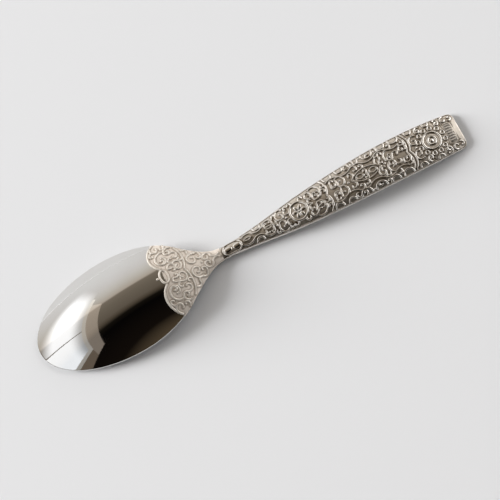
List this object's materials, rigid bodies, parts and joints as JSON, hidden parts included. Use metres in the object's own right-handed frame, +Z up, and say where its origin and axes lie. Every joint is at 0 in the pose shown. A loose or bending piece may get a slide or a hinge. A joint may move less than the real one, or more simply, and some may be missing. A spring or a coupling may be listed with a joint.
{
  "type": "teaspoon",
  "caption": "Teaspoon lying face down, with an oval mirror-polished bowl, a narrow neck and a gently arched handle that widens towards its end; raised scrollwork covers the backs of heel and handle.",
  "frame": {"origin": "centre of the bounding box's bottom, on the table under the middle of the spoon's length", "axes": "+X from the bowl's tip to the handle's end, +Z up from the table, +Y across the spoon"},
  "size_m": [0.132, 0.029, 0.0093],
  "materials": {
    "polished_bowl": "mirror polished",
    "handle_metal": "polished, darker in the recesses",
    "ornament_metal": "polished"
  },
  "bodies": {
    "root": {"bowl": "polished_bowl", "handle": "handle_metal", "handle_border": "ornament_metal", "heel_oval": "ornament_metal", "heel_edge": "ornament_metal", "heel_bracket": "ornament_metal", "heel_scrolls": "ornament_metal", "neck_panel": "ornament_metal", "medallion_ring": "ornament_metal", "medallion_rosette": "ornament_metal", "lens_ring": "ornament_metal", "middle_bracket": "ornament_metal", "divider": "ornament_metal", "end_rings": "ornament_metal", "end_boss": "ornament_metal", "end_plaque": "ornament_metal", "end_petals": "ornament_metal", "neck_scrolls": "ornament_metal", "medallion_scrolls": "ornament_metal", "lens_scrolls": "ornament_metal", "end_scrolls": "ornament_metal"}
  },
  "joints": []
}
